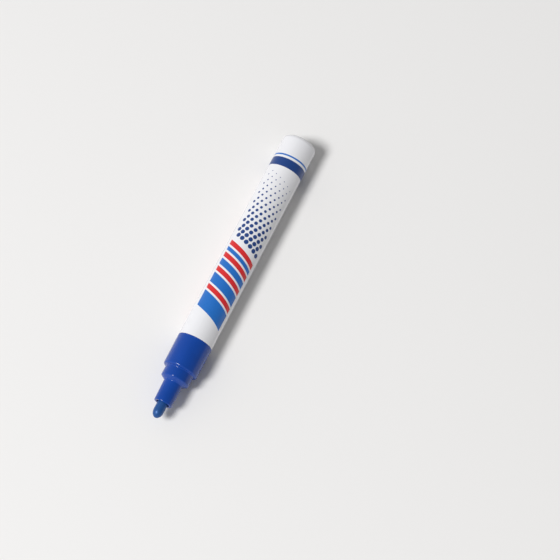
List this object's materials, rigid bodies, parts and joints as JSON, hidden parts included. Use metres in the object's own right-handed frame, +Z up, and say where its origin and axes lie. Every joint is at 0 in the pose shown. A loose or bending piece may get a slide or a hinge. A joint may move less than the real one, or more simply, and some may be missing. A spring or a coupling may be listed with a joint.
{
  "type": "paint marker",
  "caption": "Uncapped paint marker: white enamelled metal barrel, blue stepped collar, sprung fibre nib that opens a paint valve when pressed, loose mixing ball inside.",
  "frame": {"origin": "on the surface that the marker lies on, under the middle of its length", "axes": "+X along the marker from the nib to the closed rear end, +Z up, +Y completes a right-handed frame"},
  "size_m": [0.1344, 0.015, 0.015],
  "materials": {
    "barrel_enamel": null,
    "collar_plastic": "blue glossy moulded polypropylene",
    "nib_fibre": "pressed acrylic fibre soaked with blue paint",
    "seat_plastic": "soft natural polyethylene",
    "valve_plastic": "natural acetal",
    "spring_steel": "drawn stainless wire",
    "ball_steel": "polished bearing steel"
  },
  "bodies": {
    "marker_body": {"barrel": "barrel_enamel", "collar": "collar_plastic", "valve_seat": "seat_plastic", "valve_cage": "valve_plastic", "valve_spring": "spring_steel"},
    "nib": {"nib": "nib_fibre"},
    "valve_stem": {"valve_stem": "valve_plastic"},
    "mixing_ball": {"mixing_ball": "ball_steel"}
  },
  "joints": [
    {"name": "nib_press", "type": "slide", "parent": "marker_body", "child": "nib", "axis": [1, 0, 0], "range_m": [0, 0.002], "stiffness_N_per_m": 740, "deforming": ["valve_spring"]},
    {"name": "valve_travel", "type": "slide", "parent": "marker_body", "child": "valve_stem", "axis": [1, 0, 0], "range_m": [0, 0.002]},
    {"name": "ball_run", "type": "slide", "parent": "marker_body", "child": "mixing_ball", "axis": [1, 0, 0], "range_m": [0, 0.0802]}
  ],
  "couplings": [
    {"joint": "valve_travel", "follows": "nib_press", "ratio": 1}
  ]
}
